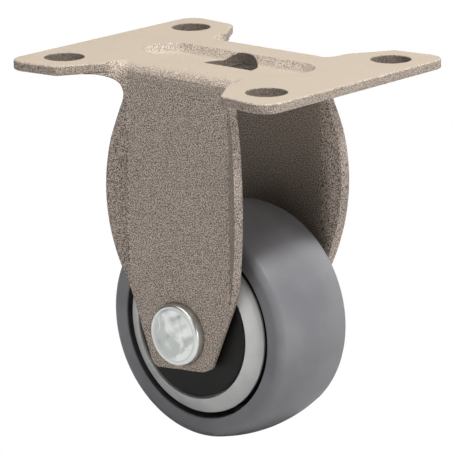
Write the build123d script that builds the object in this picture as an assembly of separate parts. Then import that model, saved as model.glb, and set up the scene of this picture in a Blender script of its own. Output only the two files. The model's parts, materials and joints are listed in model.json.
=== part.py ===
from build123d import *
import math
import os

# Fixed (rigid) plate caster with a 50 mm wheel.
# Frame: origin at the centre of the plate's top face, +Z up, +X the rolling direction, +Y along the axle.
# "near" is the -Y side and "far" is the +Y side. The two sides are mirror images.

# Overall sizes
wheel_diameter = 50.0
total_height = 81.0
sheet = 2.1
leg_gap = 27.6

# Top plate
plate_length = 71.2
ear_width = 59.4
ear_inner_x = 22.3
ear_inner_y = 28.1
ear_slant_x = 7.6
ear_corner_radius = 4.0
ear_inner_radius = 1.4
waist_radius = 3.0
plate_edge_round = 0.4
hole_spacing_x = 55.0
hole_spacing_y = 40.0
hole_diameter = 8.5

# Pressed channel along the plate, with the centre hole in its floor
channel_length = 43.8
channel_width = 12.6
channel_depth = 1.8
channel_draft = 42.0
channel_floor_radius = 1.2
channel_growth = 0.4
centre_hole_diameter = 12.8

# Legs: bend under the plate, side outline and flared margins
bend_outer_radius = 3.0
bend_end_radius = 4.2
bend_fade_length = 3.0
neck_radius = 4.8
leg_half_width = 17.65
leg_widest_drop = 26.9
leg_side_radius = 60.0
taper_start_drop = 47.0
taper_round = 12.0
foot_half_width = 7.4
foot_radius = 2.2
foot_rise = 1.4
leg_below_axle = 8.5
flare_fold_x = 13.3
flare_fold_radius = 2.0
flare_start_drop = 6.0
flare_start_angle = 16.0
flare_full_drop = 16.0
flare_full_angle = 36.0

# Axle rivet and spacer tube
shank_play = 0.02
leg_hole_play = 0.05
head_diameter = 13.1
head_rim = 1.9
head_dome = 0.3
spacer_wall = 2.0

# Ball bearings, 8 x 22 x 7
bearing_bore = 8.0
bearing_diameter = 22.0
bearing_width = 7.0
bearing_gap = 8.0
ring_chamfer = 0.3
land_gap = 3.0
ball_diameter = 3.968
ball_count = 7
race_play = 0.045
shield_thickness = 0.3
shield_inset = 0.15
shield_seat_depth = 0.5
shield_play = 0.15
cage_clearance = 0.55
cage_back = 2.5
cage_front = 0.9
cage_play = 0.06

# Wheel centre and tread
tread_width = 21.9
tread_crown_radius = 37.5
tread_shoulder_radius = 3.2
tread_thickness = 5.58
anchor_height = 1.6
anchor_root_width = 7.0
anchor_top_width = 9.0
groove_height = 1.17
groove_depth = 4.4
core_edge_y = 10.05
core_crest_y = 12.05
core_ring_wall = 3.7
core_shoulder_height = 1.2
seat_clearance = 0.01

# Thread guards
guard_thickness = 0.85
guard_clearance = 0.3
guard_rim_chamfer = 0.35
guard_boss_wall = 1.75

axle_z = wheel_diameter / 2 - total_height
leg_inner_y = leg_gap / 2
leg_outer_y = leg_inner_y + sheet
neck_x = ear_inner_x - ear_slant_x
bearing_inner_y = bearing_gap / 2
bearing_outer_y = bearing_inner_y + bearing_width
bearing_mid_y = (bearing_inner_y + bearing_outer_y) / 2
shank_diameter = bearing_bore - 2 * shank_play
axle_hole_diameter = shank_diameter + 2 * leg_hole_play
ball_pitch_diameter = (bearing_bore + bearing_diameter) / 2
inner_ring_diameter = ball_pitch_diameter - land_gap
outer_ring_bore = ball_pitch_diameter + land_gap
core_crest_diameter = bearing_diameter + 2 * core_ring_wall
tread_inner_diameter = wheel_diameter - 2 * tread_thickness
sides = {"near": -1, "far": 1}


def at_axle(shape):
    """A shape turned about the Y axis, moved down to the axle."""
    return Pos(0, 0, axle_z) * shape


def on_side(shape, side):
    """A shape made on the far side, or its mirror image for the near side."""
    return shape if side > 0 else mirror(shape, Plane.XZ)


def turned(*edges):
    """Solid of revolution about Y. The edges close a profile drawn with x as radius and y along the axle."""
    return revolve(make_face(edges), Axis.Y, 360)


def turned_points(*points):
    """Solid of revolution about Y with a straight-sided profile of (radius, y) points."""
    return turned(Polyline(*points, close=True))


# Fork


def plate_outline():
    """Bow-tie outline: four ears, and a waist that lies on the outer faces of the legs."""
    quarter = [
        (plate_length / 2, ear_width / 2),
        (ear_inner_x, ear_inner_y),
        (neck_x, leg_outer_y),
    ]
    radii = [ear_corner_radius, ear_inner_radius, waist_radius]
    half = quarter + [(-x, y) for x, y in reversed(quarter)]
    face = make_face(Polyline(*half, *[(-x, -y) for x, y in half], close=True))
    for (x, y), radius in zip(quarter, radii):
        corners = [
            v for v in face.vertices() if math.isclose(abs(v.X), x) and math.isclose(abs(v.Y), y)
        ]
        face = fillet(corners, radius)
    return face


def channel_boat(top_z, growth):
    """Solid inside the pressed channel: a slot that narrows toward a floor with a rounded edge."""
    slot = SlotOverall(channel_length + 2 * growth, channel_width + 2 * growth)
    boat = extrude(Pos(0, 0, top_z) * slot, channel_depth, dir=(0, 0, -1), taper=channel_draft)
    floor = boat.faces().sort_by(Axis.Z)[0]
    return fillet(floor.edges(), channel_floor_radius)


def plate():
    """Flat plate with rounded edges and the pressed channel, not yet pierced."""
    flat = extrude(plate_outline(), sheet, dir=(0, 0, -1))
    faces = flat.faces().sort_by(Axis.Z)
    flat = fillet(faces[0].edges() + faces[-1].edges(), plate_edge_round)
    return flat + channel_boat(-sheet, channel_growth) - channel_boat(0, 0)


def leg_outline():
    """Side view of a leg: hollow neck under the plate, bulging sides, and a taper to a rounded foot."""

    def half_width(drop):
        sag = leg_side_radius - math.sqrt(leg_side_radius**2 - (drop - leg_widest_drop) ** 2)
        return leg_half_width - sag

    foot_z = axle_z - leg_below_axle
    top = (leg_half_width + neck_radius, -sheet / 2)
    under = (top[0], -sheet)
    neck = (half_width(sheet), -sheet)
    widest = (leg_half_width, -leg_widest_drop)
    taper = (half_width(taper_start_drop), -taper_start_drop)
    foot = (foot_half_width, foot_z + foot_rise)
    low_foot = (-foot_half_width, foot_z)
    side = [Line(top, under), Line(under, neck), ThreePointArc(neck, widest, taper)]
    right = side + [Line(taper, foot)]
    left = [mirror(edge, Plane.YZ) for edge in side] + [Line((-taper[0], taper[1]), low_foot)]
    top_edge = Line(top, (-top[0], top[1]))
    foot_edge = Line(foot, low_foot)
    face = make_face(right + left + [top_edge, foot_edge])
    rounds = ((neck, neck_radius), (taper, taper_round), (foot, foot_radius), (low_foot, foot_radius))
    for (x, y), radius in rounds:
        corners = [v for v in face.vertices() if math.isclose(abs(v.X), abs(x)) and math.isclose(v.Y, y)]
        face = fillet(corners, radius)
    return face


def leg_section(z, angle):
    """Level section through a leg at height z, with margins that fold outward by the angle."""
    reach = leg_half_width + neck_radius
    bend = math.radians(angle)
    centre_y = leg_outer_y + flare_fold_radius
    run = (reach - flare_fold_x) / math.cos(bend)

    def arc(radius):
        mid, end = bend / 2, bend
        points = [(flare_fold_x + radius * math.sin(a), centre_y - radius * math.cos(a)) for a in (0, mid, end)]
        tip = (points[-1][0] + run * math.cos(bend), points[-1][1] + run * math.sin(bend))
        return ThreePointArc(*points), points[0], points[-1], tip

    outer, outer_start, outer_end, outer_tip = arc(flare_fold_radius)
    inner, inner_start, inner_end, inner_tip = arc(flare_fold_radius + sheet)
    right = [outer, Line(outer_end, outer_tip), Line(outer_tip, inner_tip), Line(inner_tip, inner_end), inner]
    left = [mirror(edge, Plane.YZ) for edge in right]
    across = [
        Line(outer_start, (-outer_start[0], outer_start[1])),
        Line(inner_start, (-inner_start[0], inner_start[1])),
    ]
    return Pos(0, 0, z) * make_face(right + left + across)


def bend_stations():
    """Places along the outline from the middle of a leg to the ear: x, y of the sharp corner, outer radius.

    The bend follows the waist and opens toward its end, as the sheet is drawn out sideways there.
    """
    slant = math.atan2(ear_inner_y - leg_outer_y, ear_slant_x)
    tangent_length = waist_radius * math.tan(slant / 2)
    waist_x, waist_y = neck_x - tangent_length, leg_outer_y + waist_radius
    stations = [(waist_x - tangent_length, leg_outer_y, bend_outer_radius)]
    for share in (0.0, 0.5, 1.0):
        turn = share * slant
        x = waist_x + waist_radius * math.sin(turn)
        y = waist_y - waist_radius * math.cos(turn)
        stations.append((x, y, bend_outer_radius + share * (bend_end_radius - bend_outer_radius)))
    x, y, radius = stations[-1]
    fade_end = (x + bend_fade_length * math.cos(slant), y + bend_fade_length * math.sin(slant))
    under_x = leg_half_width + neck_radius
    under_end = (under_x, y + (under_x - x) * math.tan(slant))
    return stations, fade_end, under_end


def across_x(x, face):
    """A face drawn as (y, z), set up across the X axis at x."""
    return Plane((x, 0, 0), x_dir=(0, 1, 0), z_dir=(1, 0, 0)) * face


def both_ways(outer_part, middle_section, middle_x):
    """The part beyond middle_x, the middle section carried straight across to it, and the mirror image of both."""
    half = outer_part + extrude(middle_section, middle_x, dir=(-1, 0, 0))
    return half + mirror(half, Plane.YZ)


def bend_wall_section(x, corner_y, radius):
    """Section at x under the plate: inside of the bend, and the wall down to where the margins start to flare."""
    fold = max(0.0, x - flare_fold_x) * math.tan(math.radians(flare_start_angle))
    inside = radius - sheet
    centre = (corner_y - radius, -radius)
    under = (centre[0], -sheet)
    arc_mid = (centre[0] + inside * math.sqrt(0.5), centre[1] + inside * math.sqrt(0.5))
    wall = (corner_y - sheet, -radius)
    foot_in, foot_out = (leg_inner_y + fold, -flare_start_drop), (leg_outer_y + fold, -flare_start_drop)
    shoulder = (corner_y, -radius)
    top = (corner_y, -sheet)
    edges = [ThreePointArc(under, arc_mid, wall), Polyline(wall, foot_in, foot_out, shoulder, top, under)]
    return across_x(x, make_face(edges))


def bend_cutter_section(x, corner_y, radius):
    """Section at x of what the outside of the bend leaves free, with margins past the corner."""
    margin = bend_end_radius
    tangent, wall = (corner_y - radius, 0), (corner_y, -radius)
    arc_mid = (corner_y - radius * (1 - math.sqrt(0.5)), -radius * (1 - math.sqrt(0.5)))
    outside = Polyline(wall, (corner_y + margin, -radius), (corner_y + margin, margin), (tangent[0], margin), tangent)
    return across_x(x, make_face([ThreePointArc(tangent, arc_mid, wall), outside]))


def far_bend_cutter():
    """Rounds the outside of the bend over the far leg and fades into the inner edges of the ears."""
    stations, fade_end, _ = bend_stations()
    sections = [bend_cutter_section(*station) for station in stations]
    ear = bend_cutter_section(*fade_end, plate_edge_round)
    return both_ways(loft(sections + [ear]), sections[0], stations[0][0])


def far_bend_wall():
    """Inside of the bend and top of the far leg, which runs out sideways under the ears."""
    stations, _, under_end = bend_stations()
    sections = [bend_wall_section(*station) for station in stations[1:]]
    run_out = loft([sections[-1], bend_wall_section(*under_end, bend_end_radius)], ruled=True)
    return both_ways(loft(sections) + run_out, sections[0], stations[1][0])


def far_leg():
    """Leg on the far side, cut to its outline and pierced for the axle."""
    foot_z = axle_z - leg_below_axle
    upper = loft([leg_section(-flare_start_drop, flare_start_angle), leg_section(-flare_full_drop, flare_full_angle)])
    lower = extrude(leg_section(-flare_full_drop, flare_full_angle), -foot_z - flare_full_drop, dir=(0, 0, -1))
    leg = far_bend_wall() + upper + lower
    leg &= extrude(Plane.XZ * leg_outline(), 2 * leg_outer_y, both=True)
    return leg - at_axle(Rot(90, 0, 0) * Cylinder(axle_hole_diameter / 2, 4 * leg_outer_y))


def fork():
    """One pressed sheet: plate, two bends and two legs, pierced by the bolt holes and the centre hole."""
    body = plate()
    for side in sides.values():
        body += on_side(far_leg(), side)
    for side in sides.values():
        body -= on_side(far_bend_cutter(), side)
    body -= Cylinder(centre_hole_diameter / 2, 4 * sheet + channel_depth)
    for place in GridLocations(hole_spacing_x, hole_spacing_y, 2, 2):
        body -= place * Cylinder(hole_diameter / 2, 4 * sheet)
    return body


# Axle


def axle_rivet():
    """Shank through both legs with a flat-domed head formed over each."""
    head, shank = head_diameter / 2, shank_diameter / 2
    rim_y = leg_outer_y + head_rim
    crown_y = rim_y + head_dome
    half = head / 2
    sphere = (head**2 + head_dome**2) / (2 * head_dome)
    half_y = crown_y - (sphere - math.sqrt(sphere**2 - half**2))
    upper = [
        Line((shank, 0), (shank, leg_outer_y)),
        Line((shank, leg_outer_y), (head, leg_outer_y)),
        Line((head, leg_outer_y), (head, rim_y)),
        ThreePointArc((head, rim_y), (half, half_y), (0, crown_y)),
    ]
    lower = [mirror(edge, Plane.XZ) for edge in upper]
    return turned(*upper, *lower, Line((0, -crown_y), (0, crown_y)))


def axle_spacer():
    """Tube that holds the two inner rings apart."""
    bore, y = bearing_bore / 2, bearing_inner_y
    outside = bore + spacer_wall
    return turned_points((bore, -y), (outside, -y), (outside, y), (bore, y))


# Bearings, drawn about their own middle and then moved out to the far side


def race():
    """Ring-shaped groove that the balls run in."""
    return Rot(90, 0, 0) * Torus(ball_pitch_diameter / 2, ball_diameter / 2 + race_play)


def inner_ring():
    """Inner ring with its ball groove and chamfered bore."""
    bore, rim, y = bearing_bore / 2, inner_ring_diameter / 2, bearing_width / 2
    c = ring_chamfer
    ring = turned_points((bore, c - y), (bore + c, -y), (rim, -y), (rim, y), (bore + c, y), (bore, y - c))
    return ring - race()


def outer_ring():
    """Outer ring with its ball groove, chamfered outside and a shield seat in each face."""
    bore, rim, y = outer_ring_bore / 2, bearing_diameter / 2, bearing_width / 2
    c = ring_chamfer
    seat_y = y - shield_inset - shield_thickness
    seat = bore + shield_seat_depth
    ring = turned_points(
        (bore, -seat_y),
        (seat, -seat_y),
        (seat, -y),
        (rim - c, -y),
        (rim, c - y),
        (rim, y - c),
        (rim - c, y),
        (seat, y),
        (seat, seat_y),
        (bore, seat_y),
    )
    return ring - race()


def shield():
    """Dust shield on the outward face, pressed into the outer ring and just clear of the inner ring."""
    seat = outer_ring_bore / 2 + shield_seat_depth - seat_clearance
    eye = inner_ring_diameter / 2 + shield_play
    low = bearing_width / 2 - shield_inset - shield_thickness
    high = low + shield_thickness
    return turned_points((eye, low), (seat, low), (seat, high), (eye, high))


def ball_place(index):
    """Place of a ball's centre on the pitch circle."""
    return Rot(0, index * 360 / ball_count, 0) * Pos(ball_pitch_diameter / 2, 0, 0)


def cage():
    """Moulded crown cage: one back ring, and open pockets that the balls snap into."""
    middle = ball_pitch_diameter / 2
    half_width = land_gap / 2 - cage_clearance
    inside, outside = middle - half_width, middle + half_width
    body = turned_points(
        (inside, -cage_front), (outside, -cage_front), (outside, cage_back), (inside, cage_back)
    )
    for index in range(ball_count):
        body -= ball_place(index) * Sphere(ball_diameter / 2 + cage_play)
    return body


# Wheel


def wheel_core():
    """Moulded centre: bearing seats, guard pockets, bevelled side rings, deep grooves and the tread's anchor."""
    seat = bearing_diameter / 2 + seat_clearance
    bore = bearing_diameter / 2 - core_shoulder_height
    crest = core_crest_diameter / 2
    rim = tread_inner_diameter / 2
    groove = rim - groove_height
    anchor = rim + anchor_height
    groove_y = core_edge_y - groove_depth
    far = [
        (bore, bearing_inner_y),
        (seat, bearing_inner_y),
        (seat, bearing_outer_y),
        (crest, bearing_outer_y),
        (crest, core_crest_y),
        (groove, core_edge_y),
        (groove, groove_y),
        (rim, groove_y),
        (rim, anchor_root_width / 2),
        (anchor, anchor_top_width / 2),
    ]
    near = [(radius, -y) for radius, y in reversed(far)]
    return turned_points(*far, *near)


def tread():
    """Tyre with a crowned tread and soft shoulders, moulded over the anchor of the centre."""
    radius, half = wheel_diameter / 2, tread_width / 2
    rim = tread_inner_diameter / 2
    anchor = rim + anchor_height
    shoulder = radius - tread_crown_radius + math.sqrt(tread_crown_radius**2 - half**2)
    root, top = anchor_root_width / 2, anchor_top_width / 2
    profile = make_face(
        [
            ThreePointArc((shoulder, -half), (radius, 0), (shoulder, half)),
            Polyline(
                (shoulder, half),
                (rim, half),
                (rim, root),
                (anchor, top),
                (anchor, -top),
                (rim, -root),
                (rim, -half),
                (shoulder, -half),
            ),
        ]
    )
    corners = [v for v in profile.vertices() if math.isclose(v.X, shoulder)]
    return revolve(fillet(corners, tread_shoulder_radius), Axis.Y, 360)


def thread_guard():
    """Disc that covers the bearing, on a boss held between the inner ring and the leg."""
    bore = axle_hole_diameter / 2
    boss = bore + guard_boss_wall
    edge = core_crest_diameter / 2 - guard_clearance
    low = bearing_outer_y + guard_clearance
    high = low + guard_thickness
    c = guard_rim_chamfer
    return turned_points(
        (bore, bearing_outer_y),
        (boss, bearing_outer_y),
        (boss, low),
        (edge, low),
        (edge, high - c),
        (edge - c, high),
        (boss, high),
        (boss, leg_inner_y),
        (bore, leg_inner_y),
    )


nodes = {
    "fork": fork(),
    "axle_rivet": at_axle(axle_rivet()),
    "axle_spacer": at_axle(axle_spacer()),
    "wheel_core": at_axle(wheel_core()),
    "tread": at_axle(tread()),
}
for name, side in sides.items():
    to_bearing = Pos(0, bearing_mid_y, 0)
    shield_shape = shield()
    nodes[name + "_thread_guard"] = at_axle(on_side(thread_guard(), side))
    nodes[name + "_inner_ring"] = at_axle(on_side(to_bearing * inner_ring(), side))
    nodes[name + "_outer_ring"] = at_axle(on_side(to_bearing * outer_ring(), side))
    nodes[name + "_outer_shield"] = at_axle(on_side(to_bearing * shield_shape, side))
    nodes[name + "_inner_shield"] = at_axle(on_side(to_bearing * mirror(shield_shape, Plane.XZ), side))
    nodes[name + "_cage"] = at_axle(on_side(to_bearing * cage(), side))
    for index in range(ball_count):
        ball = to_bearing * ball_place(index) * Sphere(ball_diameter / 2)
        nodes[f"{name}_ball_{index + 1}"] = at_axle(on_side(ball, side))

os.makedirs("parts", exist_ok=True)
for node, shape in nodes.items():
    export_step(shape, f"parts/{node}.step")
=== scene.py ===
# %% [markdown]
# A fixed caster, dressed for its portrait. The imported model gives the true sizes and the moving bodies.
# This script adds what a maker's finish adds: a textured taupe powder coat on the pressed fork, a
# moulded tyre with rounded shoulders, a bevelled plastic wheel centre, black thread guards and a
# zinc-plated rivet with hammered heads.
# Every measure below is in metres, in the model's own frame: +Z is up, +Y runs along the axle, and the
# origin is the centre of the plate's top face.

# %% Load the frame
import bpy
import json
import math
import numpy as np
from mathutils import Matrix, Vector


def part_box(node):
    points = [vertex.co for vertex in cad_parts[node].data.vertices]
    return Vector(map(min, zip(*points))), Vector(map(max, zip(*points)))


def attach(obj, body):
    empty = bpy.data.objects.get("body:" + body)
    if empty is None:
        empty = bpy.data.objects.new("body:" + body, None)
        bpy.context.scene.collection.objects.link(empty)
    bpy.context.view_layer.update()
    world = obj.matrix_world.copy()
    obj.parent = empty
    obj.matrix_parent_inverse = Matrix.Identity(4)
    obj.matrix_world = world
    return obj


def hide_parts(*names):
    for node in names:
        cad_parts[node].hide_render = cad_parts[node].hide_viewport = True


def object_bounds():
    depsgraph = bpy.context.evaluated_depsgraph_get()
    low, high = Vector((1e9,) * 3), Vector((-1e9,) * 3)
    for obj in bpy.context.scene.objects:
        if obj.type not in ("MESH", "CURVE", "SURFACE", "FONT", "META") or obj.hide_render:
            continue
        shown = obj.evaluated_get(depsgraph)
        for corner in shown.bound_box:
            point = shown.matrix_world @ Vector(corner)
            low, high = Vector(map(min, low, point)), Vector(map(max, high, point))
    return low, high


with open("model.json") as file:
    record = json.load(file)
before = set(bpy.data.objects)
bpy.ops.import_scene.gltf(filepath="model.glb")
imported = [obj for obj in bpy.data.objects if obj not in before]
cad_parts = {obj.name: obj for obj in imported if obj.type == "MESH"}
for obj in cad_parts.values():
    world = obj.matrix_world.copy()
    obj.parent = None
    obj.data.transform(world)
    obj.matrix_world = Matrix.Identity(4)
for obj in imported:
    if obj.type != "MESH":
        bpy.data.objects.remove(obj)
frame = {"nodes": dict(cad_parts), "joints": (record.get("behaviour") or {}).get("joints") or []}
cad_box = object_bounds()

# %% [markdown]
# The driving sizes are read from the model where it states them, so the finish follows the frame: the
# axle is the hinge of the wheel, and each round piece gives its radius and half width through its box.

# %% Sizes from the frame
mm = 0.001
axle = Vector(next(j for j in frame["joints"] if j["name"] == "wheel_spin")["pos_m"])


def round_size(node):
    """Radius about the axle and the nearest and farthest |y| of a node, from the corners of its box:
    the radius is half the box's height."""
    low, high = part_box(node)
    return (high.z - low.z) / 2, min(abs(low.y), abs(high.y)), max(abs(low.y), abs(high.y))


tread_radius = axle.z - cad_box[0].z
tread_half = round_size("tread")[2]
head_radius, _, head_y = round_size("axle_rivet")
guard_radius, guard_low_y, leg_inner_y = round_size("far_thread_guard")
core_crest_y = round_size("wheel_core")[2]
sheet_thickness = 2.1 * mm
leg_outer_y = leg_inner_y + sheet_thickness
print("tread radius", round(tread_radius, 5), "half width", round(tread_half, 5))
print("axle z", round(axle.z, 5), "leg from", round(leg_inner_y, 5), "to", round(leg_outer_y, 5))

# %% [markdown]
# Every round piece starts as a profile, a list of (radius, y) points. Moulded and turned corners are
# never quite sharp, so each corner of a profile may state a rounding, and it becomes a small arc.

# %% Rounded profiles


def rounded(corners, steps=8):
    """Closed profile through the corners (radius, y, rounding). Each corner with a rounding becomes an
    arc tangent to its two sides: centre = corner + bisector * rounding / sin(half angle), swept from
    one tangent point to the other. These lie rounding / tan(half angle) from the corner."""
    count = len(corners)
    points = []
    for i, (r, y, rounding) in enumerate(corners):
        here = np.array((r, y))
        before = np.array(corners[i - 1][:2]) - here
        after = np.array(corners[(i + 1) % count][:2]) - here
        if rounding <= 0:
            points.append(here[None])
            continue
        before, after = before / np.linalg.norm(before), after / np.linalg.norm(after)
        half = math.acos(np.clip(before @ after, -1, 1)) / 2
        bisector = (before + after) / np.linalg.norm(before + after)
        centre = here + bisector * rounding / math.sin(half)
        start = here + before * rounding / math.tan(half)
        end = here + after * rounding / math.tan(half)
        a0 = math.atan2(*(start - centre)[::-1])
        turn = (math.atan2(*(end - centre)[::-1]) - a0 + math.pi) % (2 * math.pi) - math.pi
        angles = a0 + np.linspace(0, turn, steps + 1)
        points.append(centre + rounding * np.stack([np.cos(angles), np.sin(angles)], 1))
    return np.concatenate(points)


def mirrored(profile):
    """The profile on the near side, y turned to -y, in the order that keeps it going the same way
    round."""
    flipped = np.asarray(profile, float)[::-1].copy()
    flipped[:, 1] *= -1
    return flipped


# %% [markdown]
# A round piece is a surface of revolution: its profile is carried round the axle. The whole grid of
# points is worked out at once as arrays, and only a profile's corners are rounded one by one.

# %% Surfaces of revolution
ring_steps = 384
sharp_edge = math.radians(40)


def new_mesh(name, points, faces):
    """Object with this mesh, smooth but for edges sharper than the angle."""
    mesh = bpy.data.meshes.new(name)
    mesh.from_pydata(points, [], faces)
    mesh.validate()
    obj = bpy.data.objects.new(name, mesh)
    bpy.context.scene.collection.objects.link(obj)
    mesh.shade_smooth()
    mesh.set_sharp_from_angle(angle=sharp_edge)
    return obj


def lathe(name, profile, closed=True, lift=None):
    """Surface of revolution about the axle: P(u, v) = (r(v) cos u, y(v), axle z + r(v) sin u). A closed
    profile makes a ring; an open one starts and ends on the axle, where its row of points shrinks to a
    pole. lift(r, y, u) gives an extra push along y for every point of the grid. A profile that runs
    round the wrong way, by the sign of its area, has its faces turned round."""
    profile = np.asarray(profile, float)
    u = np.linspace(0, 2 * math.pi, ring_steps, endpoint=False)
    inner = profile if closed else profile[1:-1]
    r, y = inner[:, :1], inner[:, 1:]
    y = y + (0 if lift is None else lift(r, y, u[None, :]))
    grid = np.stack([r * np.cos(u), y + 0 * u, axle.z + r * np.sin(u)], -1)
    rows = len(inner)
    index = np.arange(rows * ring_steps).reshape(rows, ring_steps)
    below = index if closed else index[:-1]
    above = np.roll(index, -1, axis=0) if closed else index[1:]
    quads = np.stack([below, above, np.roll(above, -1, 1), np.roll(below, -1, 1)], -1).reshape(-1, 4)
    points, faces = grid.reshape(-1, 3), quads.tolist()
    if not closed:
        poles = np.array([(0, profile[0, 1], axle.z), (0, profile[-1, 1], axle.z)])
        points = np.concatenate([points, poles])
        first, last = np.full(ring_steps, rows * ring_steps), np.full(ring_steps, rows * ring_steps + 1)
        faces += np.stack([np.roll(index[0], -1), first, index[0]], -1).tolist()
        faces += np.stack([index[-1], last, np.roll(index[-1], -1)], -1).tolist()
    after = np.roll(profile, -1, axis=0)
    area = np.sum(profile[:, 0] * after[:, 1] - profile[:, 1] * after[:, 0])
    if area < 0:
        faces = [face[::-1] for face in faces]
    return new_mesh(name, points, faces)


# %% [markdown]
# Each finer surface stands in for one of the model's solids, in the same place. It rides on the same
# body, so it turns with the wheel or stands still with the fork.

# %% Stand in for a node


def dress(piece, node, body):
    """The piece stands for a node and rides on its body, and the node is hidden."""
    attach(piece, body)
    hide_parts(node)
    print(piece.name, "faces", len(piece.data.polygons))
    return piece


# %% [markdown]
# Materials are written as formulas. A Wire is one output socket: adding or multiplying wires adds Math
# nodes, so a speckle reads like a sum.

# %% Materials as formulas


class Wire:
    """One output socket of a material. Arithmetic on it adds Math nodes."""

    def __init__(self, recipe, socket):
        self.recipe, self.socket = recipe, socket

    def maths(self, operation, *values):
        """What a Math node makes of the values, or of this wire alone where none are given."""
        inputs = dict(enumerate(values or (self,)))
        return self.recipe.add("ShaderNodeMath", {"operation": operation}, inputs)

    def __add__(self, other):
        return self.maths("ADD", self, other)

    def __sub__(self, other):
        return self.maths("SUBTRACT", self, other)

    def __rsub__(self, other):
        return self.maths("SUBTRACT", other, self)

    def __mul__(self, other):
        return self.maths("MULTIPLY", self, other)

    def __truediv__(self, other):
        return self.maths("DIVIDE", self, other)

    def __pow__(self, other):
        return self.maths("POWER", self, other)

    def within(self, low, high):
        """0 at low and 1 at high, with a soft start and end."""
        settings = {"interpolation_type": "SMOOTHSTEP"}
        inputs = {"Value": self, "From Min": low, "From Max": high}
        return self.recipe.add("ShaderNodeMapRange", settings, inputs)

    __radd__ = __add__
    __rmul__ = __mul__


# %% [markdown]
# Every other node comes from Recipe.add, which takes its type, its settings and what its sockets are
# given. The patterns read a point's place on the object, so they turn with the piece.

# %% One recipe for each material
colour_a, colour_b, colour_result = 6, 7, 2  # the Mix node's places for colours
noise_band = (0.3, 0.7)  # most of a noise's values lie between these


class Recipe:
    """One material: a Principled surface with fixed values, and the nodes that vary it."""

    def __init__(self, name, **fixed):
        self.material = bpy.data.materials.new(name)
        self.material.use_nodes = True
        self.tree = self.material.node_tree
        self.surface = next(n for n in self.tree.nodes if n.type == "BSDF_PRINCIPLED")
        for socket, value in fixed.items():
            self.surface.inputs[socket.replace("_", " ")].default_value = value

    def add(self, kind, settings=None, inputs=None, output=0):
        """Adds a node and returns one of its outputs. Settings are set before its sockets are filled."""
        node = self.tree.nodes.new(kind)
        for key, value in (settings or {}).items():
            setattr(node, key, value)
        for key, value in (inputs or {}).items():
            self.fill(node.inputs[key], value)
        return Wire(self, node.outputs[output])

    def fill(self, socket, value):
        """A wire is linked to the socket, and a plain value is set on it."""
        if isinstance(value, Wire):
            self.tree.links.new(value.socket, socket)
        else:
            socket.default_value = value

    def where(self):
        """A point's place on the object."""
        return self.add("ShaderNodeTexCoord", output="Object")

    def axis(self, name):
        """One part of a point's place on the object."""
        return self.add("ShaderNodeSeparateXYZ", {}, {"Vector": self.where()}, output=name)

    def normal(self, name):
        """One part of the surface's own normal, in the object's frame."""
        normal = self.add("ShaderNodeTexCoord", output="Normal")
        return self.add("ShaderNodeSeparateXYZ", {}, {"Vector": normal}, output=name)

    def from_axle(self):
        """Distance from the axle: the square root of x squared plus z squared, with z measured from the
        axle."""
        x, z = self.axis("X"), self.axis("Z") - axle.z
        return (x * x + z * z) ** 0.5

    def noise(self, grain, detail=2.0, distortion=0.0):
        """Noise whose blotches are about this large, in metres."""
        sockets = {"Vector": self.where(), "Scale": 1 / grain, "Detail": detail}
        sockets["Distortion"] = distortion
        return self.add("ShaderNodeTexNoise", {}, sockets)

    def mix(self, factor, first, second):
        """Colour between two colours: the first where the factor is 0, the second where it is 1."""
        sockets = {"Factor": factor, colour_a: first, colour_b: second}
        return self.add("ShaderNodeMix", {"data_type": "RGBA"}, sockets, output=colour_result)

    def bump(self, height, depth, normal=None):
        """Bump whose full height of 1 stands for this depth in metres."""
        sockets = {"Height": height, "Distance": depth, "Strength": 1.0}
        if normal:
            sockets["Normal"] = normal
        return self.add("ShaderNodeBump", {}, sockets)

    def done(self, **varied):
        """The surface's own sockets take these wires, and the material is ready."""
        for socket, value in varied.items():
            self.fill(self.surface.inputs[socket.replace("_", " ")], value)
        print("material", self.material.name, "nodes", len(self.tree.nodes))
        return self.material


# %% [markdown]
# Colours are easier to judge as the values that a screen shows, so they are written that way and worked
# out as the linear light that a shader wants.

# %% Colours and paint


def rgb(red, green, blue):
    """A colour given as 0 to 255 screen values, as the shader's linear light: the screen's standard
    curve is c / 12.92 in its dark part and ((c + 0.055) / 1.055) to the power 2.4 above it."""
    def linear(c):
        c = c / 255
        return c / 12.92 if c <= 0.04045 else ((c + 0.055) / 1.055) ** 2.4
    return (linear(red), linear(green), linear(blue), 1.0)


def paint(obj, material):
    """The material becomes the object's only one."""
    obj.data.materials.clear()
    obj.data.materials.append(material)


# %% [markdown]
# The fork's powder coat is a textured taupe with very fine grains. On the legs, on every bend and on
# every sheared edge the grains show as light and dark specks. Where the sheet lies flat and looks up,
# the specks fade and the colour is a little warmer: this is painted light, a lit copy of the coat that
# stands in for the even light falling on the top. The upward part of the surface's normal says how
# grainy it is.
# The same normal finds the flared margins of the legs, which are painted darker as shade, and their cut
# edges, which are painted a little lighter as light and have bolder specks. The holes are found by the
# places and radii that they have in the solid.

# %% Where the coat differs
hole_x, hole_y, hole_radius, centre_radius = 27.5 * mm, 20.0 * mm, 4.25 * mm, 6.4 * mm
wall_start, wall_full = 0.12 * mm, 0.04 * mm
margin_x = 16.0 * mm
leg_top = (5 * mm, 8 * mm)


def flare_masks(coat, x, y, depth):
    """1 on the outer side, on the inner side and on the cut edge of a flared margin. The product of x
    and the normal's x, over the margins' x, is about -0.6 on the outer side and 0.6 to 0.9 on the inner
    side and the cut edge, on both sides of the leg. The same product of y is below zero on the inner
    side and above it on the cut edge."""
    on_leg = depth.within(*leg_top)
    outward = x * coat.normal("X") / margin_x
    away = y * coat.normal("Y") / margin_x
    outer = outward.within(-0.1, -0.4) * on_leg
    inner = outward.within(0.2, 0.5) * away.within(-0.2, -0.6) * on_leg
    cut = outward.within(0.45, 0.65) * away.within(0.05, 0.35) * on_leg
    return outer, inner, cut


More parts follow.
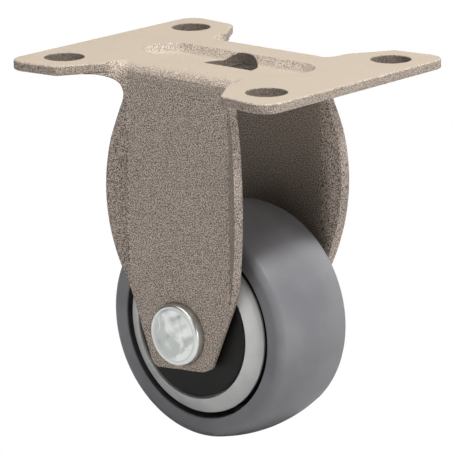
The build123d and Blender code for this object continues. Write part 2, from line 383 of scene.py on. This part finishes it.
def shaded_hole_walls(x, y, depth):
    """1 on the walls of the bolt holes and the centre hole, below the plate's top face. A point is on a
    wall where its distance from the hole's middle, the square root of the sum of the squares, comes
    down to the hole's radius. The four bolt holes are one pattern in |x| and |y|."""
    bolt_x, bolt_y = x.maths("ABSOLUTE") - hole_x, y.maths("ABSOLUTE") - hole_y
    to_bolt = (bolt_x**2 + bolt_y**2) ** 0.5
    to_middle = (x * x + y * y) ** 0.5
    bolt_wall = to_bolt.within(hole_radius + wall_start, hole_radius + wall_full)
    centre_wall = to_middle.within(centre_radius + wall_start, centre_radius + wall_full)
    return (bolt_wall + centre_wall) * depth.within(0.08 * mm, 0.25 * mm)


# %% [markdown]
# The coat itself is one base colour with tints laid over it in turn. The walls of the holes, the
# inner sides of the legs, the lower edge of the plate's steep faces and a thin ring round the rivet's
# head are painted dark, as shade. A small bevel in the shading takes the hardness off the sheared edges.

# %% Powder coat
speck_size, bold_speck_size, cloud_size = 0.23 * mm, 0.3 * mm, 14 * mm
speck_colours = rgb(79, 66, 57), rgb(210, 195, 182)
# The cut edges' specks are bolder, and painted lighter as light.
lit_bold_cut_speck_colours = rgb(76, 65, 56), rgb(228, 216, 204)
# Painted light: the up-facing parts of the coat get these smoother, warmer colours, as a lit copy of the
# coat.
painted_top_light_colours = rgb(156, 144, 129), rgb(173, 160, 144)
flare_shade = rgb(60, 50, 44)
coat_bevel = 0.3 * mm
coat_relief = 0.08 * mm


def powder_coat():
    """Each tint is a mask, the share of its colour where the mask is 1, and the colour. Down to 1 mm
    below the top face the specks have 0.62 of their strength, and from 6 mm down all of it."""
    coat = Recipe("textured_powder_coat", Metallic=0.0)
    fine = coat.noise(speck_size, detail=0.0)
    bold = coat.noise(bold_speck_size, detail=0.0)
    cloud = coat.noise(cloud_size, detail=3.0)
    x, y, depth = coat.axis("X"), coat.axis("Y"), 0 - coat.axis("Z")
    margin, inner_flare_shade, cut = flare_masks(coat, x, y, depth)
    steep = coat.normal("Z").maths("ABSOLUTE").within(0.4, 0.1)
    plate_edge_shade = steep * depth.within(2.6 * mm, 2.2 * mm)
    between = y.maths("ABSOLUTE").within(leg_inner_y + 1.2 * mm, leg_inner_y + 0.1 * mm)
    inside = between * depth.within(12 * mm, 34 * mm)
    rivet_contact_shade = coat.from_axle().within(head_radius + 0.6 * mm, head_radius + 0.05 * mm)

    # Painted light: where the normal faces up, the specks give way to the smoother, warmer lit colours.
    grainy = coat.normal("Z").within(0.995, 0.6) * (0.62 + depth.within(1 * mm, 6 * mm) * 0.38)
    specks = coat.mix(fine.within(*noise_band), *speck_colours)
    lit_bold_cut_specks = coat.mix(bold.within(0.34, 0.66), *lit_bold_cut_speck_colours)
    smooth = coat.mix(fine.within(*noise_band), *painted_top_light_colours)
    base = coat.mix(grainy, smooth, specks)
    tints = [
        (cloud.within(*noise_band), 0.12, rgb(146, 131, 118)),
        # Painted shade on the flared margins and on the folds of their inner sides.
        (margin, 0.32, flare_shade),
        (inner_flare_shade, 0.2, flare_shade),
        # The cut edges: bolder specks, painted lighter as light.
        (cut, 0.8, lit_bold_cut_specks),
        # Painted shade along the lower edge of the plate's steep faces.
        (plate_edge_shade, 0.16, rgb(60, 52, 44)),
        # Painted shade on the walls of the holes.
        (shaded_hole_walls(x, y, depth), 0.55, rgb(54, 42, 28)),
        # Painted shade on the inner sides of the legs, deeper down.
        (inside, 0.45, rgb(52, 45, 34)),
        # Painted shade: a thin dark ring round the rivet's head.
        (rivet_contact_shade, 0.55, rgb(58, 50, 42)),
    ]
    for mask, share, colour in tints:
        base = coat.mix(mask * share, base, colour)

    edge = coat.add("ShaderNodeBevel", {"samples": 6}, {"Radius": coat_bevel})
    relief = coat.bump(fine * (grainy * 0.9 + 0.1), coat_relief, edge)
    return coat.done(Base_Color=base, Roughness=0.6 + cloud * 0.08, Normal=relief)


paint(frame["nodes"]["fork"], powder_coat())

# %% [markdown]
# The tyre is moulded from soft grey rubber. Its section is a wide flat arc, the crown, that runs tangent
# into a much smaller arc at each shoulder, and then a short flat side. A thin raised line marks where
# the two halves of the mould met.

# %% Tyre
crown_radius = 37.5 * mm
shoulder_round = 2.1 * mm
tyre_rim = 19.42 * mm
lip_round = 0.4 * mm
side_half = tread_half - 0.03 * mm
parting_height, parting_width = 0.02 * mm, 0.12 * mm
crown_points, shoulder_points = 97, 25


def tyre_profile():
    """Two tangent arcs on each side. The crown's centre lies on the wheel's middle plane, at tread
    radius - crown radius. The shoulder's centre is at a distance of crown radius - shoulder round from
    it, one shoulder round inside the flat side. The sides end in lips that round over into the groove.
    The parting line is a bell curve of y, with the rest of the crown one line's height lower."""
    crown_centre = tread_radius - crown_radius
    centre_y = side_half - shoulder_round
    reach = crown_radius - shoulder_round
    centre_r = crown_centre + math.sqrt(reach**2 - centre_y**2)
    tilt = math.asin(centre_y / reach)
    a = np.linspace(-tilt, tilt, crown_points)
    crown_y = crown_radius * np.sin(a)
    parting = parting_height * (np.exp(-((crown_y / parting_width) ** 2)) - 1)
    crown = np.stack([crown_centre + crown_radius * np.cos(a) + parting, crown_y], 1)
    b = np.linspace(tilt, math.pi / 2, shoulder_points)[1:]
    arc_r, arc_y = centre_r + shoulder_round * np.cos(b), centre_y + shoulder_round * np.sin(b)
    shoulder = np.stack([arc_r, arc_y], 1)
    lips = [(tyre_rim, side_half, lip_round), (tyre_rim, -side_half, lip_round)]
    around = rounded([(centre_r, -side_half, 0), (centre_r, side_half, 0)] + lips)
    return np.concatenate([mirrored(shoulder), crown, shoulder, around[2:]])


tyre = dress(lathe("tyre", tyre_profile()), "tread", "wheel")

# %% [markdown]
# Rubber like this is satin and nearly even, so its colour and its gloss vary only a little, in soft
# clouds. The lip inside the groove is painted dark, as shade.

# %% Rubber
rubber_colours = rgb(112, 111, 115), rgb(122, 121, 124)
lip_shade = rgb(26, 26, 27)


def soft_rubber():
    """The lip's painted shade lies where the distance from the axle comes down to the tyre's rim."""
    rubber = Recipe("soft_grey_rubber", IOR=1.5)
    cloud = rubber.noise(9 * mm, detail=4.0)
    fine = rubber.noise(0.5 * mm, detail=3.0)
    base = rubber.mix(cloud.within(*noise_band), *rubber_colours)
    # Painted shade on the lip inside the groove.
    lip = rubber.from_axle().within(tyre_rim + 0.18 * mm, tyre_rim - 0.1 * mm)
    base = rubber.mix(lip, base, lip_shade)
    relief = rubber.bump(fine, 0.006 * mm)
    return rubber.done(Base_Color=base, Roughness=0.42 + cloud * 0.1, Normal=relief)


paint(tyre, soft_rubber())

# %% [markdown]
# The wheel centre is a light grey moulding. What shows of it is a bevelled ring: it slopes from the edge
# of a deep groove beside the tyre up to a crest round the thread guard.

# %% Wheel centre
core = {
    "bore": 9.8 * mm,
    "seat": 11.01 * mm,
    "crest": 14.8 * mm,
    "groove": 18.3 * mm,
    "rim": tyre_rim,
    "bearing_y": 11.0 * mm,
    "shoulder_y": 4.0 * mm,
    "crest_y": core_crest_y + 0.5 * mm,
    "edge_y": 10.45 * mm,
    "groove_y": 5.65 * mm,
}


def core_profile():
    """The far half as corners (radius, y, rounding), from the bearing's seat out over the crest and down
    into the groove, and the near half as the same corners backwards with -y."""
    far = [
        (core["bore"], core["shoulder_y"], 0),
        (core["seat"], core["shoulder_y"], 0),
        (core["seat"], core["bearing_y"], 0.2 * mm),
        (core["crest"], core["bearing_y"], 0.2 * mm),
        (core["crest"], core["crest_y"], 0.22 * mm),
        (core["groove"], core["edge_y"], 0.25 * mm),
        (core["groove"], core["groove_y"], 0.3 * mm),
        (core["rim"], core["groove_y"], 0),
    ]
    near = [(r, -y, rounding) for r, y, rounding in reversed(far)]
    return rounded(far + near, steps=6)


centre = dress(lathe("wheel_centre", core_profile()), "wheel_core", "wheel")

# %% [markdown]
# The ring is satin plastic, and its colour turns almost black down in the groove, where no light comes.

# %% Light plastic
plastic_colours = rgb(185, 185, 184), rgb(198, 197, 196)
groove_shade = rgb(30, 30, 31)


def light_plastic():
    """The groove's shade starts 0.2 mm below the ring's outer edge and is full at 0.6 mm."""
    plastic = Recipe("light_grey_plastic", IOR=1.48)
    cloud = plastic.noise(6 * mm, detail=3.0)
    fine = plastic.noise(0.35 * mm, detail=2.0)
    base = plastic.mix(cloud.within(*noise_band), *plastic_colours)
    depth = core["edge_y"] - plastic.axis("Y").maths("ABSOLUTE")
    base = plastic.mix(depth.within(0.2 * mm, 0.6 * mm), base, groove_shade)
    relief = plastic.bump(fine, 0.004 * mm)
    return plastic.done(Base_Color=base, Roughness=0.3 + cloud * 0.12, Normal=relief)


paint(centre, light_plastic())

# %% [markdown]
# A black plastic disc on each side keeps threads out of the bearing. It has a bevelled rim, and a boss
# that stands against the leg.

# %% Thread guards
guard_stand, guard_thickness = 0.3 * mm, 1.1 * mm
guard_boss, guard_bore = 5.78 * mm, 4.03 * mm
guard_bevel_r, guard_bevel_y = 0.5 * mm, 0.35 * mm


def guard_profile():
    """Corners (radius, y, rounding) of the far guard. The disc stands off the bearing, and the boss runs
    through it from the inner ring to the leg."""
    low = guard_low_y + guard_stand
    high = low + guard_thickness
    corners = [
        (guard_bore, guard_low_y, 0),
        (guard_boss, guard_low_y, 0),
        (guard_boss, low, 0),
        (guard_radius, low, 0.12 * mm),
        (guard_radius, high - guard_bevel_y, 0.1 * mm),
        (guard_radius - guard_bevel_r, high, 0.12 * mm),
        (guard_boss, high, 0.15 * mm),
        (guard_boss, leg_inner_y, 0),
        (guard_bore, leg_inner_y, 0),
    ]
    return rounded(corners, steps=5)


def black_plastic():
    """Near black, with soft clouds in its colour and its gloss."""
    plastic = Recipe("black_moulded_plastic", IOR=1.4)
    cloud = plastic.noise(5 * mm, detail=3.0)
    fine = plastic.noise(0.3 * mm, detail=2.0)
    base = plastic.mix(cloud, rgb(12, 11, 9), rgb(18, 16, 14))
    relief = plastic.bump(fine, 0.005 * mm)
    return plastic.done(Base_Color=base, Roughness=0.45 + cloud * 0.1, Normal=relief)


guard_black = black_plastic()
for side, profile in (("far", guard_profile()), ("near", mirrored(guard_profile()))):
    guard = dress(lathe(side + "_guard", profile), side + "_thread_guard", "frame")
    paint(guard, guard_black)

# %% [markdown]
# The axle is a rivet: its ends were hammered over the legs, so each head has a rounded rim, painted
# bright as a highlight, and a face of shallow, uneven flats. The face is pushed along y by a few broad
# waves, the same ones on every run.

# %% Rivet
shank_radius = 3.98 * mm
head_round, side_round = 0.6 * mm, 0.12 * mm
head_dome = 0.2 * mm
face_inset, rim_drop = 0.08 * mm, 0.03 * mm
face_points = 48
hammer_depth = 0.2 * mm
fade_start, fade_width = 0.9 * mm, 1.3 * mm
flat_waves = [  # weight, steepness, across, up, start
    (0.5, 1.4, 0.62, 0.35, 0.8),
    (0.35, 2.0, -0.8, 0.5, 2.1),
]
ripple_waves = [  # weight, across, up, start
    (0.2, 1.7, 1.1, 0.0),
    (0.15, 1.3, -2.0, 1.0),
]


def head_profile():
    """From the pole over a very shallow dome, y = top - dome * (r / flat radius) ** 2, round its rim,
    then down the side and under the head to the shank."""
    flat = head_radius - head_round * 0.8
    r = np.linspace(0, flat, face_points)
    y = head_y - face_inset - head_dome * (r / flat) ** 2
    corners = [
        (r[-1], y[-1], 0),
        (head_radius, y[-1] - rim_drop, head_round * 0.75),
        (head_radius, leg_outer_y, side_round),
        (shank_radius, leg_outer_y, 0),
    ]
    return np.concatenate([np.stack([r, y], 1), rounded(corners)[1:]])


def hammered(r, y, u):
    """Broad uneven flats, outward on both heads: a sum of slanted waves, with x and z in millimetres. A
    flat is weight * tanh(steepness * sin(across x + up z + start)), and a ripple is weight * sin(across
    x + up z + start). They fade out over the fade's width and end at its start, inside the rim."""
    x, z = r * np.cos(u) / mm, r * np.sin(u) / mm
    height = 0
    for weight, steepness, across, up, start in flat_waves:
        height = height + weight * np.tanh(steepness * np.sin(across * x + up * z + start))
    for weight, across, up, start in ripple_waves:
        height = height + weight * np.sin(across * x + up * z + start)
    fade = np.clip((head_radius - fade_start - r) / fade_width, 0, 1) ** 0.8
    on_head = np.abs(y) > leg_outer_y
    return np.sign(y) * hammer_depth * height * fade * on_head


far_head = head_profile()
both_heads = np.concatenate([far_head, mirrored(far_head)])
rivet = lathe("rivet", both_heads, closed=False, lift=hammered)
dress(rivet, "axle_rivet", "frame")

# %% [markdown]
# The rivet is plated with bright zinc. Its face is duller, with uneven tone, and a faint darker line
# runs just inside the rim. The rim is painted brighter, as a highlight.

# %% Zinc plate
zinc_colours = rgb(201, 206, 203), rgb(244, 246, 243)
# The rim's colour is a painted highlight.
rim_painted_highlight, line_shade = rgb(232, 235, 232), rgb(168, 174, 173)


def zinc_plate():
    """Reach is the distance from the axle over the head's radius: the face ends at 0.8 to 0.84 of it, and
    the line lies between 0.8 and 0.9. The rim's painted highlight counts for 0.85."""
    zinc = Recipe("bright_zinc", Metallic=1.0)
    cloud = zinc.noise(5 * mm, detail=2.0, distortion=1.2)
    fine = zinc.noise(0.4 * mm, detail=3.0)
    base = zinc.mix(cloud.within(0.38, 0.58), *zinc_colours)
    reach = zinc.from_axle() / head_radius
    on_face = reach.within(0.84, 0.8)
    line = reach.within(0.8, 0.85) * reach.within(0.9, 0.86)
    # Painted highlight on the rim.
    base = zinc.mix(0.85 - on_face * 0.85, base, rim_painted_highlight)
    base = zinc.mix(line * 0.35, base, line_shade)
    relief = zinc.bump(cloud * 0.8 + fine * 0.2, 0.03 * mm)
    return zinc.done(Base_Color=base, Roughness=0.27 + cloud * 0.1, Normal=relief)


paint(rivet, zinc_plate())

# %% [markdown]
# The bearings are hidden behind the guards, but they still get their own finishes: ground steel rings,
# balls, shields and spacer, and cages of natural nylon.

# %% Bearings
steel_words = ("ring", "shield", "ball", "spacer")


def ground_steel():
    """Ground steel, with fine marks in its relief."""
    steel = Recipe("ground_bearing_steel", Metallic=1.0)
    cloud = steel.noise(2 * mm, detail=3.0)
    fine = steel.noise(0.1 * mm, detail=2.0)
    base = steel.mix(cloud, rgb(172, 172, 174), rgb(198, 198, 200))
    relief = steel.bump(fine, 0.002 * mm)
    return steel.done(Base_Color=base, Roughness=0.2 + cloud * 0.1, Normal=relief)


def natural_nylon():
    """Undyed nylon, a warm off-white."""
    nylon = Recipe("natural_nylon", IOR=1.53)
    cloud = nylon.noise(2 * mm, detail=3.0)
    base = nylon.mix(cloud, rgb(214, 206, 180), rgb(226, 220, 198))
    relief = nylon.bump(cloud, 0.01 * mm)
    return nylon.done(Base_Color=base, Roughness=0.4 + cloud * 0.1, Normal=relief)


steel, nylon = ground_steel(), natural_nylon()
hidden = [node for node in frame["nodes"] if any(word in node for word in steel_words)]
for node in hidden:
    paint(frame["nodes"][node], steel)
for side in ("near", "far"):
    paint(frame["nodes"][side + "_cage"], nylon)
print("hidden steel pieces:", len(hidden))

# %% [markdown]
# The stage is a plain white table. A real one would throw so much light up that the shade between the
# legs would vanish, so the floor is white to the lens and light grey to the light that bounces off it.
# The surround is white to the lens too, and almost dark to everything else.

# %% Stage
floor_half = 4.0
floor_greys = rgb(186, 186, 186), rgb(190, 190, 190)
surround_strength = 0.02


def stage_floor():
    """A square in the plane of the wheel's lowest point. Its material is a mix: a white glow where a ray
    comes from the lens, and the grey surface for every other ray."""
    low, half = cad_box[0].z, floor_half
    corners = [(-half, -half, low), (half, -half, low), (half, half, low), (-half, half, low)]
    floor = new_mesh("floor", corners, [(0, 1, 2, 3)])
    white = Recipe("white_floor", Roughness=0.9)
    cloud = white.noise(0.5)
    white.done(Base_Color=white.mix(cloud, *floor_greys))
    seen = white.add("ShaderNodeLightPath", output="Is Camera Ray")
    glow = white.add("ShaderNodeEmission", {}, {"Color": (1, 1, 1, 1)})
    grey = Wire(white, white.surface.outputs[0])
    both = white.add("ShaderNodeMixShader", {}, {0: seen, 1: grey, 2: glow})
    white.fill(white.tree.nodes["Material Output"].inputs["Surface"], both)
    paint(floor, white.material)


def surround(strength):
    """White all round: its strength is 1 to a ray from the lens, and this strength to every other."""
    world = bpy.data.worlds.new("white_surround")
    world.use_nodes = True
    tree = world.node_tree
    background = tree.nodes["Background"]
    background.inputs["Color"].default_value = (1, 1, 1, 1)
    seen, level = tree.nodes.new("ShaderNodeLightPath"), tree.nodes.new("ShaderNodeMapRange")
    level.inputs["To Min"].default_value = strength
    tree.links.new(seen.outputs["Is Camera Ray"], level.inputs["Value"])
    tree.links.new(level.outputs["Result"], background.inputs["Strength"])
    bpy.context.scene.world = world


stage_floor()
surround(surround_strength)

# %% [markdown]
# Two broad lamps overhead and a small one high on the right make the plate the brightest part. The small
# one also throws the plate's shade over the top of the tyre, with a fairly crisp border. Weak lamps in
# front, low on the right and behind give the leg, the cut edges and the wheel's rim a little more light.

# %% Lamps
middle = (0, 0, -0.04)
lamps = [  # name, place, size across in metres, power in watts
    ("overhead_soft", (0.05, 0.0, 0.8), 1.3, 7.6),
    ("overhead", (0.1, 0.1, 0.9), 0.7, 3),
    ("high_right", (0.46, 0.0, 0.85), 0.12, 7.8),
    ("front_fill", (0.0, -0.9, 0.25), 0.5, 1.6),
    ("low_right", (0.9, 0.1, -0.02), 0.4, 2.8),
    ("back_soft", (0.2, 0.9, 0.3), 0.5, 2),
]


def area_lamp(name, place, target, size, power):
    """A round lamp at this place, turned so that it looks at the target."""
    lamp = bpy.data.lights.new(name, "AREA")
    lamp.shape, lamp.size, lamp.energy = "DISK", size, power
    obj = bpy.data.objects.new(name, lamp)
    obj.location = place
    obj.rotation_euler = (Vector(target) - Vector(place)).to_track_quat("-Z", "Y").to_euler()
    bpy.context.scene.collection.objects.link(obj)


for name, place, size, power in lamps:
    area_lamp(name, place, middle, size, power)
print("lamps:", len(lamps), "total power", round(sum(lamp[-1] for lamp in lamps), 1), "W")

# %% [markdown]
# The camera stands where the photograph was taken from: 40.8 degrees round from the front, 15 degrees up
# and 650 mm away, with a long lens and a slight tilt.

# %% Camera
view_azimuth, view_elevation, view_roll = 40.80, 14.93, -0.58
view_distance = 0.650
view_target = Vector((0, 0, -0.035))
lens_mm, sensor_mm = 244.9, 36.0
shift = (-0.0033, -0.0132)


def photo_camera():
    """Its axes: back = (sin a cos e, -cos a cos e, sin e), right is level, up = back x right, and then
    right and up are turned about back by the roll. It stands at target + back * distance."""
    a, e, roll = (math.radians(v) for v in (view_azimuth, view_elevation, view_roll))
    back = Vector((math.sin(a) * math.cos(e), -math.cos(a) * math.cos(e), math.sin(e)))
    right = Vector((math.cos(a), math.sin(a), 0))
    up = back.cross(right)
    tilted_right = right * math.cos(roll) + up * math.sin(roll)
    tilted_up = up * math.cos(roll) - right * math.sin(roll)
    data = bpy.data.cameras.new("photo_camera")
    data.lens, data.sensor_width = lens_mm, sensor_mm
    data.shift_x, data.shift_y = shift
    camera = bpy.data.objects.new("photo_camera", data)
    axes = Matrix((tilted_right, tilted_up, back)).transposed().to_4x4()
    camera.matrix_world = Matrix.Translation(view_target + back * view_distance) @ axes
    bpy.context.scene.collection.objects.link(camera)
    bpy.context.scene.camera = camera
    print("camera at", [round(v, 4) for v in camera.matrix_world.translation])


photo_camera()
bpy.context.scene.view_settings.view_transform = "Standard"
